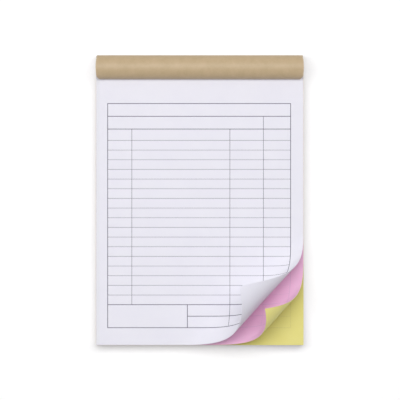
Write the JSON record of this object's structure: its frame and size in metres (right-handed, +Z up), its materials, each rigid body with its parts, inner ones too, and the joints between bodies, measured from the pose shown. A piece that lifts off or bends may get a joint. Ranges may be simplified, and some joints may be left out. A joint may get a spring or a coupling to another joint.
{
  "type": "receipt book",
  "caption": "Bound pad of ruled receipt forms with coloured copy sheets, its card cover turned back over the head and one corner of the top sheets curled up.",
  "frame": {"origin": "middle of the book's bounding box, on the surface that it lies on", "axes": "+X to the book's right as it is read, +Y toward its bound head, +Z up out of the top sheet"},
  "size_m": [0.148, 0.2066, 0.0504],
  "materials": {
    "kraft_card": "uncoated kraft card, soft fibre mottle",
    "greyboard": "raw greyboard, flecked",
    "page_edges": "trimmed edges of white, pink and yellow sheets",
    "white_paper": "matt bluish white copy paper",
    "pink_paper": "matt pink copy paper",
    "yellow_paper": "matt yellow copy paper",
    "printed_ink": "thin printed grey lines",
    "staple_wire": "round bright wire"
  },
  "bodies": {
    "front_cover": {"cover_panel": "kraft_card"},
    "pad": {"cover_wrap": "kraft_card", "backing_board": "greyboard", "page_block": "page_edges", "lower_yellow_sheet": "yellow_paper", "yellow_sheet": "yellow_paper", "pink_sheet": "pink_paper", "white_sheet": "white_paper", "ruled_form": "printed_ink", "staple_left": "staple_wire", "staple_right": "staple_wire"}
  },
  "joints": [
    {"name": "cover_fold", "type": "hinge", "parent": "front_cover", "child": "pad", "pos_m": [0, 0.1003, 0], "axis": [-1, 0, 0], "range_deg": [0, 70]}
  ]
}
